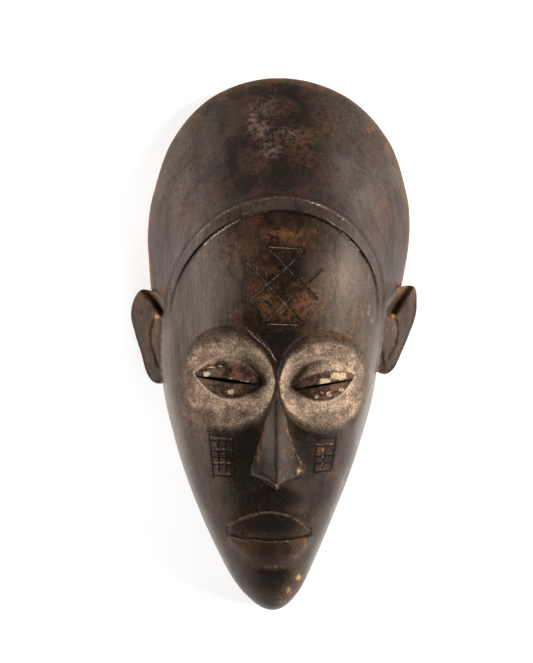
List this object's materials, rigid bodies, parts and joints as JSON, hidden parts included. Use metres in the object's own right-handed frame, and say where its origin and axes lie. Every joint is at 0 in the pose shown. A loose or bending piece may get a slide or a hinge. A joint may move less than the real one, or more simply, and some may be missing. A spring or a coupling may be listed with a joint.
{
  "type": "carved wooden face mask",
  "caption": "Carved wooden face mask with a tall flared coiffure, banded forehead, whitened eye sockets with slit eyes, incised marks and a hollow back.",
  "frame": {"origin": "middle of the mask's box in the plane of its back rim, on which it lies", "axes": "+Z out of the face, +Y towards the crown, +X towards the viewer's right"},
  "size_m": [0.1934, 0.3599, 0.1015],
  "materials": {
    "carved_wood": "dark waxed patina, white kaolin worn thin in the eye sockets"
  },
  "bodies": {
    "root": {"mask": "carved_wood"}
  },
  "joints": []
}
